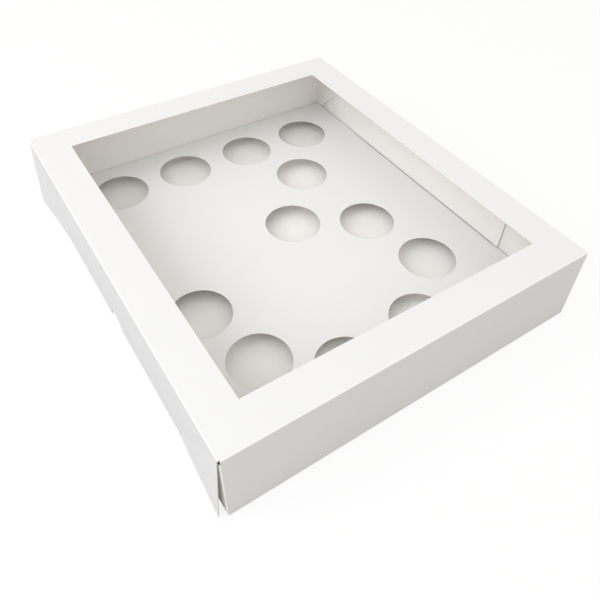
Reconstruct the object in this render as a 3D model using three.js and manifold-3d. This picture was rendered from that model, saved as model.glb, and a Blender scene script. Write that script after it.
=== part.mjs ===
// Cupcake box of folded white card, in millimetres with +Z up.
// A shallow glued tray holds a raised insert with round cup holes, and a hinged lid with a
// clear window closes over it. The origin is the centre of the tray's underside, -X is the
// side that opens, +X is the hinge side, and the cup holes read the right way up from -Y.

import * as THREE from 'three';
import { mergeVertices } from 'three/addons/utils/BufferGeometryUtils.js';
import Module from 'manifold-3d';

const wasm = await Module();
wasm.setup();

// Card and its folds
const cardThickness = 0.6;
const foldInnerRadius = 0.3;
const foldOuterRadius = foldInnerRadius + cardThickness;
const foldSegments = 6;
const glueGap = 0.3;
const sheetLap = 0.4;
const cornerRelief = 0.5;

// Lid
const lidWidth = 355.6;
const lidLength = 406.4;
const boxHeight = 76.2;
const skirtLift = 0.8;
const endSkirtFlare = 3.0;
const cornerFlare = 5.0;
const hingeEndCut = 0.5;
const thumbNotchRadius = 11.4;
const lidTabMargin = 4;
const lidTabEndHeight = 9.4;

// Window in the lid and the film glued under it
const windowMargin = 33;
const windowCornerRadius = 0.6;
const filmThickness = 0.2;
const filmLap = 8;

// Tray
const trayClearance = 0.5;
const trayTabMargin = 4;
const trayTabTopCut = 1.2;
const trayTabEndHeight = 6.3;
const creaseWidth = 0.8;
const creaseDepth = 0.15;

// Flap of the lid that is glued inside the tray's hinge wall
const flapEndInset = 83;
const flapTaper = 1;
const flapLean = 1.2;
const flapFootGap = 1.2;

// Insert with one round hole for each cupcake
const insertHeight = 14.5;
const insertClearance = 0.4;
const legCornerCut = 1.2;
const cupHoleDiameter = 56.6;
const cupSideInset = 58;
const cupEndInset = 47;
const holeSegments = 56;

// Cup holes set out as a numeral, each as a share of the way from the insert's centre to the
// outermost hole centres: a straight top bar, a slanted stroke and a round bowl
const cupPlaces = [
  [-0.95, 1], [-0.31, 1], [0.355, 0.99], [1, 0.97],
  [0.625, 0.535], [0.164, 0.11],
  [0.744, -0.127], [0.894, -0.61], [0.412, -0.96], [-0.312, -1], [-0.828, -0.73], [-0.986, -0.275],
];

// Places that follow from the sizes
const openSideX = -lidWidth / 2;
const hingeX = lidWidth / 2;
const lidHalfLength = lidLength / 2;
const lidUnderside = boxHeight - cardThickness;
const lidTabFoldX = openSideX + cardThickness + glueGap + foldOuterRadius;
const trayOpenX = lidTabFoldX - foldOuterRadius + cardThickness + trayClearance;
const trayHingeX = hingeX + glueGap + cardThickness;
const trayHalfLength = lidHalfLength - cardThickness - trayClearance;
const rimHeight = lidUnderside - glueGap;
const hingeWallHeight = rimHeight - cardThickness;
const lidTabReach = boxHeight - skirtLift - 2 * lidTabMargin - lidTabEndHeight;
const trayTabReach = hingeWallHeight - 2 * trayTabTopCut - trayTabMargin - trayTabEndHeight;
const insertOpenX = trayOpenX + cardThickness + glueGap + cardThickness + insertClearance;
const insertHingeX = hingeX - cardThickness - insertClearance;
const insertHalfLength = trayHalfLength - cardThickness - insertClearance;

const lidFoldY = lidHalfLength - foldOuterRadius;
const lidFoldZ = boxHeight - foldOuterRadius;
const trayFoldY = trayHalfLength - foldOuterRadius;
const trayTabFoldX = trayOpenX + cardThickness + glueGap + foldOuterRadius;
const trayHingeTabFoldX = hingeX - foldOuterRadius;

const rightAngle = Math.PI / 2;
const up = new THREE.Vector3(0, 0, 1);
const towardBack = new THREE.Vector3(0, 1, 0);
const towardHinge = new THREE.Vector3(1, 0, 0);
const towardOpening = new THREE.Vector3(-1, 0, 0);
const bothEnds = [-1, 1];

function point(x, y, z) {
  return new THREE.Vector3(x, y, z);
}

function flat(x, y) {
  return new THREE.Vector2(x, y);
}

function solidFrom(geometry) {
  geometry.deleteAttribute('normal');
  geometry.deleteAttribute('uv');
  const merged = mergeVertices(geometry, 1e-5);
  const mesh = new wasm.Mesh({
    numProp: 3,
    vertProperties: Float32Array.from(merged.attributes.position.array),
    triVerts: Uint32Array.from(merged.index.array),
  });
  return new wasm.Manifold(mesh);
}

function joined(solids) {
  return solids.reduce((whole, piece) => whole.add(piece));
}

function cut(solid, cutters) {
  return cutters.reduce((left, cutter) => left.subtract(cutter), solid);
}

// Solid swept straight from an outline that lies in the plane of across and upward
function prism(outline, origin, across, upward, sweep) {
  const facing = across.clone().cross(upward).dot(sweep) > 0;
  const start = facing ? origin : origin.clone().add(sweep);
  const run = facing ? sweep : sweep.clone().negate();
  const shape = new THREE.Shape(outline);
  const geometry = new THREE.ExtrudeGeometry(shape, { depth: 1, bevelEnabled: false });
  geometry.applyMatrix4(new THREE.Matrix4().makeBasis(across, upward, run).setPosition(start));
  return solidFrom(geometry);
}

function alongX(outline, startX, endX) {
  return prism(outline, point(startX, 0, 0), towardBack, up, point(endX - startX, 0, 0));
}

function alongY(outline, startY, endY) {
  return prism(outline, point(0, startY, 0), towardHinge, up, point(0, endY - startY, 0));
}

function alongZ(outline, startZ, endZ) {
  return prism(outline, point(0, 0, startZ), towardHinge, towardBack, point(0, 0, endZ - startZ));
}

function rectangle(lowX, highX, lowY, highY) {
  return [flat(lowX, lowY), flat(highX, lowY), flat(highX, highY), flat(lowX, highY)];
}

function roundedRectangle(halfWidth, halfLength, radius) {
  const outline = [];
  for (const [sideX, sideY, startAngle] of [[1, 1, 0], [-1, 1, 1], [-1, -1, 2], [1, -1, 3]]) {
    const centre = flat(sideX * (halfWidth - radius), sideY * (halfLength - radius));
    for (let part = 0; part <= foldSegments; part += 1) {
      const angle = (startAngle + part / foldSegments) * rightAngle;
      outline.push(centre.clone().add(flat(Math.cos(angle), Math.sin(angle)).multiplyScalar(radius)));
    }
  }
  return outline;
}

function rightOf(heading) {
  return flat(Math.sin(heading), -Math.cos(heading));
}

// Outline of folded card along a path, with its outer face on the path's left hand.
// Each step is a turn to the right round a fold, a straight run, or both in that order.
function cardSection(start, startHeading, steps) {
  const outer = [start];
  const inner = [start.clone().addScaledVector(rightOf(startHeading), cardThickness)];
  let heading = startHeading;
  let place = start;
  for (const { turn = 0, run = 0 } of steps) {
    const centre = place.clone().addScaledVector(rightOf(heading), foldOuterRadius);
    const parts = turn > 0 ? foldSegments : 0;
    for (let part = 1; part <= parts; part += 1) {
      const spoke = rightOf(heading - turn * part / parts).negate();
      outer.push(centre.clone().addScaledVector(spoke, foldOuterRadius));
      inner.push(centre.clone().addScaledVector(spoke, foldInnerRadius));
    }
    heading -= turn;
    place = outer[outer.length - 1];
    if (run > 0) {
      place = place.clone().add(flat(Math.cos(heading), Math.sin(heading)).multiplyScalar(run));
      outer.push(place);
      inner.push(place.clone().addScaledVector(rightOf(heading), cardThickness));
    }
  }
  return [...outer, ...inner.reverse()];
}

// Flat panel of card from the corners of one face and the vector through its thickness
function panel(corners, through) {
  const [first, second, third] = corners;
  const along = second.clone().sub(first).normalize();
  const normal = along.clone().cross(third.clone().sub(first)).normalize();
  const across = normal.clone().cross(along);
  const outline = corners.map((corner) => {
    const offset = corner.clone().sub(first);
    return flat(offset.dot(along), offset.dot(across));
  });
  return prism(outline, first, along, across, through);
}

// Card that turns from an end wall's outer face, round a corner fold, into a tab.
// The axis is the fold's own, and the sweep runs along it for the wall's full height.
function cornerStrip(axis, side, outward, sweep, reach) {
  const section = cardSection(flat(-sheetLap - foldOuterRadius, foldOuterRadius), 0, [
    { run: sheetLap + foldOuterRadius },
    { turn: rightAngle, run: reach },
  ]);
  return prism(section, axis, side, outward, sweep);
}

function named(name, solid, look) {
  const mesh = solid.getMesh();
  const geometry = new THREE.BufferGeometry();
  geometry.setAttribute('position', new THREE.BufferAttribute(mesh.vertProperties, 3));
  geometry.setIndex(new THREE.BufferAttribute(mesh.triVerts, 1));
  geometry.computeVertexNormals();
  const node = new THREE.Mesh(geometry, new THREE.MeshStandardMaterial(look));
  node.name = name;
  return node;
}

const skirtTilt = Math.atan2(endSkirtFlare, boxHeight - skirtLift);
const skirtRun = (lidFoldZ + foldOuterRadius * Math.sin(skirtTilt) - skirtLift) / Math.cos(skirtTilt);

// Top panel of the lid with a skirt folded down at each end
function lidEnds() {
  const footY = -lidFoldY - foldOuterRadius * Math.cos(skirtTilt) - skirtRun * Math.sin(skirtTilt);
  const section = cardSection(flat(footY, skirtLift), rightAngle - skirtTilt, [
    { run: skirtRun },
    { turn: rightAngle - skirtTilt, run: 2 * lidFoldY },
    { turn: rightAngle - skirtTilt, run: skirtRun },
  ]);
  return alongX(section, lidTabFoldX, hingeX - hingeEndCut);
}

// Top panel of the lid with the skirt that opens, cut along the slanted corner creases
function lidOpening() {
  const section = cardSection(flat(openSideX, skirtLift), rightAngle, [
    { run: lidFoldZ - skirtLift },
    { turn: rightAngle, run: hingeX - openSideX - foldOuterRadius },
  ]);
  const halfRun = lidFoldY - cornerRelief;
  const corners = bothEnds.map((end) => alongX([
    flat(end * lidHalfLength, boxHeight),
    flat(end * (lidHalfLength - 2 * boxHeight), -boxHeight),
    flat(end * (lidHalfLength + boxHeight), -boxHeight),
  ], openSideX - cardThickness, openSideX + cardThickness + glueGap));
  return cut(alongY(section, -halfRun, halfRun), corners);
}

// Corner triangle of the opening skirt, turned outwards about the slanted crease
function lidCorner(end) {
  const topDrop = foldOuterRadius + cornerRelief + sheetLap;
  const footDrop = boxHeight - skirtLift;
  return panel([
    point(openSideX, end * (lidHalfLength - topDrop - sheetLap), boxHeight - topDrop),
    point(openSideX, end * (lidHalfLength - footDrop - sheetLap), skirtLift),
    point(openSideX - cornerFlare, end * lidHalfLength, skirtLift),
  ], towardHinge.clone().multiplyScalar(cardThickness));
}

// Corner tab of the lid, turned in behind the opening skirt below its slanted crease
function lidTab(end) {
  const outward = point(0, end * Math.cos(skirtTilt), Math.sin(skirtTilt));
  const downSkirt = point(0, end * Math.sin(skirtTilt), -Math.cos(skirtTilt));
  const axis = point(lidTabFoldX, end * lidFoldY, lidFoldZ);
  const strip = cornerStrip(axis, towardOpening, outward, downSkirt.multiplyScalar(boxHeight), boxHeight);
  const tabEndY = end * (lidHalfLength - lidTabReach);
  const beyondY = end * (lidHalfLength + boxHeight);
  const outline = [
    flat(beyondY, lidFoldZ - lidTabMargin),
    flat(end * lidFoldY, lidFoldZ - lidTabMargin),
    flat(tabEndY, boxHeight - lidTabReach - lidTabMargin),
    flat(tabEndY, skirtLift + lidTabMargin),
    flat(beyondY, skirtLift + lidTabMargin),
  ];
  return strip.intersect(alongX(outline, openSideX, lidTabFoldX + boxHeight));
}

function lidSolid() {
  const reach = 6 * cardThickness;
  const notch = new THREE.CylinderGeometry(thumbNotchRadius, thumbNotchRadius, reach, holeSegments);
  notch.rotateZ(rightAngle);
  notch.translate(openSideX, 0, skirtLift);
  const window = alongZ(
    roundedRectangle(lidWidth / 2 - windowMargin, lidHalfLength - windowMargin, windowCornerRadius),
    lidUnderside - cardThickness,
    boxHeight + cardThickness,
  );
  const sheet = joined([lidEnds(), lidOpening(), ...bothEnds.map(lidCorner), ...bothEnds.map(lidTab)]);
  return cut(sheet, [solidFrom(notch), window]);
}

function filmSolid() {
  const halfWidth = lidWidth / 2 - windowMargin + filmLap;
  const halfLength = lidHalfLength - windowMargin + filmLap;
  const filmTop = lidUnderside - glueGap;
  const outline = rectangle(-halfWidth, halfWidth, -halfLength, halfLength);
  return alongZ(outline, filmTop - filmThickness, filmTop);
}

// Base of the tray with an end wall folded up at the front and at the back
function trayEnds() {
  const wallRun = rimHeight - foldOuterRadius;
  const section = cardSection(flat(trayHalfLength, rimHeight), -rightAngle, [
    { run: wallRun },
    { turn: rightAngle, run: 2 * trayFoldY },
    { turn: rightAngle, run: wallRun },
  ]);
  return alongX(section, trayTabFoldX, trayHingeTabFoldX);
}

// Base of the tray with the two side walls, which run the tray's full length
function traySides() {
  const section = cardSection(flat(trayHingeX, hingeWallHeight), -rightAngle, [
    { run: hingeWallHeight - foldOuterRadius },
    { turn: rightAngle, run: trayHingeX - trayOpenX - 2 * foldOuterRadius },
    { turn: rightAngle, run: rimHeight - foldOuterRadius },
  ]);
  const innerHalf = trayFoldY - cornerRelief;
  const baseEnds = bothEnds.map((end) => alongX(
    rectangle(
      Math.min(end * innerHalf, end * (trayHalfLength + cardThickness)),
      Math.max(end * innerHalf, end * (trayHalfLength + cardThickness)),
      -cardThickness,
      2 * cardThickness,
    ),
    trayOpenX + foldOuterRadius,
    trayHingeX - foldOuterRadius,
  ));
  const creases = bothEnds.flatMap((end) => [
    sideWallCrease(end, trayOpenX),
    sideWallCrease(end, trayHingeX),
  ]);
  return cut(alongY(section, -trayHalfLength, trayHalfLength), [...baseEnds, ...creases]);
}

// Scored line on the outer face of a side wall, at 45 degrees from the bottom corner
function sideWallCrease(end, wallX) {
  const shift = creaseWidth / Math.SQRT2;
  const low = foldOuterRadius;
  const outline = [
    flat(end * (trayHalfLength - low + shift), low),
    flat(end * (trayHalfLength - low - shift), low),
    flat(end * (trayHalfLength - boxHeight - shift), boxHeight),
    flat(end * (trayHalfLength - boxHeight + shift), boxHeight),
  ];
  return alongX(outline, wallX - creaseDepth, wallX + creaseDepth);
}

// Corner tab of a tray end wall, glued inside the side wall above that wall's crease
function trayTab(end, foldX, side) {
  const axis = point(foldX, end * trayFoldY, 0);
  const strip = cornerStrip(axis, side, point(0, end, 0), point(0, 0, boxHeight), boxHeight);
  const tabTopZ = hingeWallHeight - trayTabTopCut;
  const tabEndY = end * (trayHalfLength - trayTabReach);
  const beyondY = end * (trayHalfLength + boxHeight);
  const outline = [
    flat(beyondY, trayTabMargin),
    flat(end * trayFoldY, trayTabMargin),
    flat(tabEndY, trayTabReach + trayTabMargin),
    flat(tabEndY, tabTopZ - trayTabTopCut),
    flat(end * trayFoldY, tabTopZ),
    flat(beyondY, tabTopZ),
  ];
  return strip.intersect(alongX(outline, foldX - boxHeight, foldX + boxHeight));
}

function traySolid() {
  return joined([
    trayEnds(),
    traySides(),
    ...bothEnds.map((end) => trayTab(end, trayTabFoldX, towardOpening)),
    ...bothEnds.map((end) => trayTab(end, trayHingeTabFoldX, towardHinge)),
  ]);
}

function hingeFlapSolid() {
  const topHalf = lidHalfLength - flapEndInset - flapTaper;
  const footHalf = lidHalfLength - flapEndInset;
  const footZ = insertHeight + flapFootGap;
  return panel([
    point(hingeX, -topHalf, rimHeight),
    point(hingeX, topHalf, rimHeight),
    point(hingeX - flapLean, footHalf, footZ),
    point(hingeX - flapLean, -footHalf, footZ),
  ], towardOpening.clone().multiplyScalar(cardThickness));
}

// Section of the insert: the top panel between two legs that stand on the tray's base
function insertSection(low, high) {
  const footZ = cardThickness + glueGap;
  const legRun = insertHeight - foldOuterRadius - footZ;
  return cardSection(flat(low, footZ), rightAngle, [
    { run: legRun },
    { turn: rightAngle, run: high - low - 2 * foldOuterRadius },
    { turn: rightAngle, run: legRun },
  ]);
}

function insertSolid() {
  const legInset = foldOuterRadius + legCornerCut;
  const halfRun = insertHalfLength - legInset;
  const sheet = joined([
    alongX(
      insertSection(-insertHalfLength, insertHalfLength),
      insertOpenX + legInset,
      insertHingeX - legInset,
    ),
    alongY(insertSection(insertOpenX, insertHingeX), -halfRun, halfRun),
  ]);
  const radius = cupHoleDiameter / 2;
  const reachX = (insertHingeX - insertOpenX) / 2 - cupSideInset;
  const reachY = insertHalfLength - cupEndInset;
  const centreX = (insertHingeX + insertOpenX) / 2;
  const holes = cupPlaces.map(([shareX, shareY]) => {
    const hole = new THREE.CylinderGeometry(radius, radius, 4 * cardThickness, holeSegments);
    hole.rotateX(rightAngle);
    hole.translate(centreX + shareX * reachX, shareY * reachY, insertHeight);
    return solidFrom(hole);
  });
  return cut(sheet, holes);
}

const whiteCard = { color: 0xe9e7e4, roughness: 0.62, metalness: 0 };
const clearFilm = { color: 0xf4f6f6, roughness: 0.08, metalness: 0, transparent: true, opacity: 0.12 };

const cupcakeBox = new THREE.Group();
cupcakeBox.add(
  named('tray', traySolid(), whiteCard),
  named('cupcake_insert', insertSolid(), whiteCard),
  named('hinge_flap', hingeFlapSolid(), whiteCard),
  named('lid', lidSolid(), whiteCard),
  named('window_film', filmSolid(), clearFilm),
);

export default cupcakeBox;
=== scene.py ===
"""Cupcake box of folded white card with a clear window in its hinged lid."""

import math

import bpy
from mathutils import Matrix, Vector

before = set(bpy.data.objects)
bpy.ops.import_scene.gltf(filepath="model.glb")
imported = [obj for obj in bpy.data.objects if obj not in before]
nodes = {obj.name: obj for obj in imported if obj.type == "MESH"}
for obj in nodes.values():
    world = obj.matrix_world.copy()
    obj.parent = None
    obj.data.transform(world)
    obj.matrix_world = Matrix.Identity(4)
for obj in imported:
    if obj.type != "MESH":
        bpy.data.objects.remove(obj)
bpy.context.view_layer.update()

# Card colours: smooth outside; the inner sides painted brighter and warmer as painted light,
# standing in for light through the card and bouncing inside the box; creamy core where it is
# cut, made darker and browner as painted shade on the hole rims;
# and the paler line along the outer folds, partly the coating stretched over the fold and
# partly a painted highlight where the fold catches light
LID_CARD = (0.845, 0.845, 0.845)
INNER_CARD_PAINTED_LIGHT = (0.965, 0.945, 0.915)
INSERT_CARD = (0.87, 0.87, 0.86)
CUT_CORE_AND_RIM_SHADE = (0.80, 0.70, 0.60)
FOLD_COAT_AND_HIGHLIGHT = (0.95, 0.95, 0.95)

# Card surface: sizes of its clouds, flecks and fibres, and how far the fibres stand up
CLOUD_SCALE = 9.0
FLECK_SCALE = 900.0
FLECK_SHARE = 0.6
FIBRE_SCALE = 1400.0
FIBRE_DETAIL = 6.0
FIBRE_ROUGHNESS = 0.6
FIBRE_HEIGHT = 0.0002
CARD_SPECULAR = 0.35

# Widths of the flat bands that cuts and folds leave on a sheet, in metres.
# Level bands are the rims of several walls in one plane, so they come out wider.
CUT_WIDTH_LOW = 0.00045
CUT_WIDTH_HIGH = 0.0013
RIM_WIDTH_HIGH = 0.0025
FOLD_WIDTH_LOW = 0.0002
FOLD_WIDTH_HIGH = 0.0003
LEVEL = 0.9
NORMAL_DIGITS = 2
PLANE_DIGITS = 4

# Points that the sides painted brighter as painted light face: the middle of the box, and the
# base below the insert
BOX_MIDDLE = Vector((0.0, 0.0, 0.038))
UNDER_INSERT = Vector((0.0, 0.0, 0.0))
FACES_MIDDLE = 1
FACES_AWAY = -1

# Window film
FILM_COLOUR = (0.97, 0.98, 0.98, 1.0)
FILM_IOR = 1.45
HAZE_SCALE = 14.0
HAZE_LOW = 0.012
HAZE_HIGH = 0.03
GLOSS_SCALE = 30.0
GLOSS_LOW = 0.06
GLOSS_HIGH = 0.12

# Floor and studio
WHITE = (1.0, 1.0, 1.0, 1.0)
FLOOR_SIZE = 8.0
FLOOR_Z = -0.0002
FLOOR_ROUGHNESS = 0.9
FLOOR_LIT = (0.55, 0.55, 0.55, 1.0)
FLOOR_SEEN = (0.93, 0.93, 0.93, 1.0)
PAPER_SHARE = 0.85
SKY_COLOUR = (1.0, 0.958, 0.925, 1.0)
SKY_LEVEL = 0.855
SKY_SEEN = 1.0
LAMP_AIM = (0.0, 0.0, 0.03)

# The camera's place and aim in the photograph, worked out from the lid's corners
CAMERA_PLACE = Vector((-0.23964, -0.36894, 0.42910))
CAMERA_AIM = Vector((0.40552, 0.57681, -0.70911))
CAMERA_ROLL = math.radians(2.645)
CAMERA_LENS = 36.16
CAMERA_SENSOR = 36.0
CAMERA_SHIFT_Y = -0.0667
CAMERA_NEAR = 0.01


def new_material(name):
    material = bpy.data.materials.new(name)
    material.use_nodes = True
    tree = material.node_tree
    shader = tree.nodes["Principled BSDF"]
    return material, tree, shader


def add_node(tree, kind, **settings):
    node = tree.nodes.new(kind)
    for key, value in settings.items():
        if key in node.inputs:
            node.inputs[key].default_value = value
        else:
            setattr(node, key, value)
    return node


def object_place(tree):
    return add_node(tree, "ShaderNodeTexCoord").outputs["Object"]


def camera_ray(tree):
    return add_node(tree, "ShaderNodeLightPath").outputs["Is Camera Ray"]


def card_fibres(tree, place, scale, low, high):
    """Grey value that wanders between two levels over the card."""
    noise = add_node(
        tree, "ShaderNodeTexNoise", Scale=scale, Detail=FIBRE_DETAIL, Roughness=FIBRE_ROUGHNESS
    )
    tree.links.new(place, noise.inputs["Vector"])
    spread = add_node(tree, "ShaderNodeMapRange")
    spread.inputs["To Min"].default_value = low
    spread.inputs["To Max"].default_value = high
    tree.links.new(noise.outputs["Fac"], spread.inputs["Value"])
    return spread.outputs["Result"]


def white_card(name, colour, roughness, mottle, bump):
    """White paperboard: faint cloudy tone, fine fibre relief."""
    material, tree, shader = new_material(name)
    place = object_place(tree)
    cloud = card_fibres(tree, place, CLOUD_SCALE, 1.0 - mottle, 1.0)
    fleck = card_fibres(tree, place, FLECK_SCALE, 1.0 - mottle * FLECK_SHARE, 1.0)
    tone = add_node(tree, "ShaderNodeMath", operation="MULTIPLY")
    tree.links.new(cloud, tone.inputs[0])
    tree.links.new(fleck, tone.inputs[1])
    tint = add_node(tree, "ShaderNodeMix", data_type="RGBA", blend_type="MULTIPLY")
    tint.inputs["Factor"].default_value = 1.0
    tint.inputs["A"].default_value = (*colour, 1.0)
    tree.links.new(tone.outputs[0], tint.inputs["B"])
    tree.links.new(tint.outputs["Result"], shader.inputs["Base Color"])
    shader.inputs["Roughness"].default_value = roughness
    shader.inputs["Specular IOR Level"].default_value = CARD_SPECULAR
    relief = add_node(tree, "ShaderNodeBump", Strength=bump, Distance=FIBRE_HEIGHT)
    fibre = card_fibres(tree, place, FIBRE_SCALE, 0.0, 1.0)
    tree.links.new(fibre, relief.inputs["Height"])
    tree.links.new(relief.outputs["Normal"], shader.inputs["Normal"])
    return material


def clear_film():
    """Thin clear film with a soft gloss and a trace of cloudiness."""
    material, tree, shader = new_material("clear_film")
    place = object_place(tree)
    shader.inputs["Base Color"].default_value = FILM_COLOUR
    shader.inputs["IOR"].default_value = FILM_IOR
    haze = card_fibres(tree, place, HAZE_SCALE, HAZE_LOW, HAZE_HIGH)
    tree.links.new(haze, shader.inputs["Alpha"])
    gloss = card_fibres(tree, place, GLOSS_SCALE, GLOSS_LOW, GLOSS_HIGH)
    tree.links.new(gloss, shader.inputs["Roughness"])
    return material


def dress(name, material):
    mesh = nodes[name].data
    mesh.materials.clear()
    mesh.materials.append(material)


def add_card(name, card):
    """Give a piece one more card and return its place in the piece's list."""
    mesh = nodes[name].data
    mesh.materials.append(card)
    return mesh, len(mesh.materials) - 1


def plane_of(face):
    """Key shared by all the faces that lie in one plane."""
    turn = tuple(round(part, NORMAL_DIGITS) for part in face.normal)
    return turn + (round(face.normal.dot(face.center), PLANE_DIGITS),)


def longest_side(mesh, face):
    corners = [mesh.vertices[index].co for index in face.vertices]
    return max((one - other).length for one in corners for other in corners)


def mark_narrow(name, card, narrowest, widest, widest_level):
    """Give the narrow flat bands of a sheet their own card, such as its cuts or its folds."""
    mesh, slot = add_card(name, card)
    area = {}
    length = {}
    for face in mesh.polygons:
        plane = plane_of(face)
        area[plane] = area.get(plane, 0.0) + face.area
        length[plane] = max(length.get(plane, 0.0), longest_side(mesh, face))
    for face in mesh.polygons:
        plane = plane_of(face)
        width = area[plane] / length[plane]
        limit = widest_level if abs(face.normal.z) > LEVEL else widest
        if narrowest < width < limit:
            face.material_index = slot


def mark_side(name, card, middle, side):
    """Give one side of a folded sheet its own card: the side facing the middle or away."""
    mesh, slot = add_card(name, card)
    for face in mesh.polygons:
        if side * face.normal.dot(middle - face.center) > 0.0:
            face.material_index = slot


def pale_floor():
    bpy.ops.mesh.primitive_plane_add(size=FLOOR_SIZE, location=(0.0, 0.0, FLOOR_Z))
    floor = bpy.context.active_object
    floor.name = "floor"
    material, tree, shader = new_material("pale_floor")
    shader.inputs["Roughness"].default_value = FLOOR_ROUGHNESS
    seen = camera_ray(tree)
    shade = add_node(tree, "ShaderNodeMix", data_type="RGBA")
    shade.inputs["A"].default_value = FLOOR_LIT
    shade.inputs["B"].default_value = FLOOR_SEEN
    tree.links.new(seen, shade.inputs["Factor"])
    tree.links.new(shade.outputs["Result"], shader.inputs["Base Color"])
    share = add_node(tree, "ShaderNodeMath", operation="MULTIPLY")
    share.inputs[1].default_value = PAPER_SHARE
    tree.links.new(seen, share.inputs[0])
    paper_white = add_node(tree, "ShaderNodeEmission", Strength=1.0)
    blend = add_node(tree, "ShaderNodeMixShader")
    tree.links.new(share.outputs[0], blend.inputs["Fac"])
    tree.links.new(shader.outputs["BSDF"], blend.inputs[1])
    tree.links.new(paper_white.outputs["Emission"], blend.inputs[2])
    tree.links.new(blend.outputs["Shader"], tree.nodes["Material Output"].inputs["Surface"])
    floor.data.materials.append(material)


def studio_world():
    """Warm soft light on the box, and plain white where the camera looks past it."""
    world = bpy.data.worlds.new("studio")
    bpy.context.scene.world = world
    world.use_nodes = True
    tree = world.node_tree
    sky = tree.nodes["Background"]
    seen = camera_ray(tree)
    shade = add_node(tree, "ShaderNodeMix", data_type="RGBA")
    shade.inputs["A"].default_value = SKY_COLOUR
    shade.inputs["B"].default_value = WHITE
    tree.links.new(seen, shade.inputs["Factor"])
    tree.links.new(shade.outputs["Result"], sky.inputs["Color"])
    level = add_node(tree, "ShaderNodeMapRange")
    level.inputs["To Min"].default_value = SKY_LEVEL
    level.inputs["To Max"].default_value = SKY_SEEN
    tree.links.new(seen, level.inputs["Value"])
    tree.links.new(level.outputs["Result"], sky.inputs["Strength"])


def soft_lamp(name, place, size, power, colour):
    bpy.ops.object.light_add(type="AREA", location=place)
    lamp = bpy.context.active_object
    lamp.name = name
    lamp.data.size = size
    lamp.data.energy = power
    lamp.data.color = colour
    lamp.rotation_euler = (Vector(LAMP_AIM) - Vector(place)).to_track_quat("-Z", "Y").to_euler()


def photo_camera():
    bpy.ops.object.camera_add(location=CAMERA_PLACE)
    camera = bpy.context.active_object
    roll = Matrix.Rotation(CAMERA_ROLL, 3, "Z").to_quaternion()
    camera.rotation_euler = (CAMERA_AIM.to_track_quat("-Z", "Y") @ roll).to_euler()
    camera.data.lens = CAMERA_LENS
    camera.data.sensor_width = CAMERA_SENSOR
    camera.data.shift_y = CAMERA_SHIFT_Y
    camera.data.clip_start = CAMERA_NEAR
    bpy.context.scene.camera = camera


lid_card = white_card("lid_card", LID_CARD, roughness=0.5, mottle=0.03, bump=0.15)
# The inner card is the outside card painted brighter and warmer, as painted light inside the
# box
tray_card = white_card("tray_card", INNER_CARD_PAINTED_LIGHT, roughness=0.6, mottle=0.04, bump=0.2)
insert_card = white_card("insert_card", INSERT_CARD, roughness=0.6, mottle=0.04, bump=0.2)
dress("lid", lid_card)
dress("hinge_flap", tray_card)
dress("tray", tray_card)
dress("cupcake_insert", insert_card)
dress("window_film", clear_film())
# Painted light: the insert's underside gets the brighter, warmer inner card, standing in for
# light coming through the sheet into the shade beneath it
mark_side("cupcake_insert", tray_card, UNDER_INSERT, FACES_MIDDLE)
# Painted light: the inner sides of the lid and tray get the brighter, warmer inner card; the
# tray's outer sides get the outside card
mark_side("lid", tray_card, BOX_MIDDLE, FACES_MIDDLE)
mark_side("tray", lid_card, BOX_MIDDLE, FACES_AWAY)

# Cut edges: the creamy core of the board, made darker and browner than it is as painted shade
# on the hole rims
cut_core_and_rim_shade = white_card("cut_core_and_rim_shade", CUT_CORE_AND_RIM_SHADE, roughness=0.8, mottle=0.08, bump=0.3)
for piece in ("lid", "hinge_flap", "tray", "cupcake_insert"):
    mark_narrow(piece, cut_core_and_rim_shade, CUT_WIDTH_LOW, CUT_WIDTH_HIGH, RIM_WIDTH_HIGH)

# Outer folds of the lid: paler where the coating stretches, and brighter still as a painted
# highlight where the fold catches light
fold_coat_and_highlight = white_card("fold_coat_and_highlight", FOLD_COAT_AND_HIGHLIGHT, roughness=0.35, mottle=0.02, bump=0.1)
mark_narrow("lid", fold_coat_and_highlight, FOLD_WIDTH_LOW, FOLD_WIDTH_HIGH, FOLD_WIDTH_HIGH)

pale_floor()
studio_world()
soft_lamp("front_above", (-0.2, -0.5, 1.6), size=1.4, power=3.0, colour=(0.75, 1.0, 1.0))
soft_lamp("left_above", (-1.3, 0.2, 1.2), size=1.1, power=10.7, colour=(0.90, 0.93, 1.0))
photo_camera()

bpy.context.scene.view_settings.view_transform = "Standard"
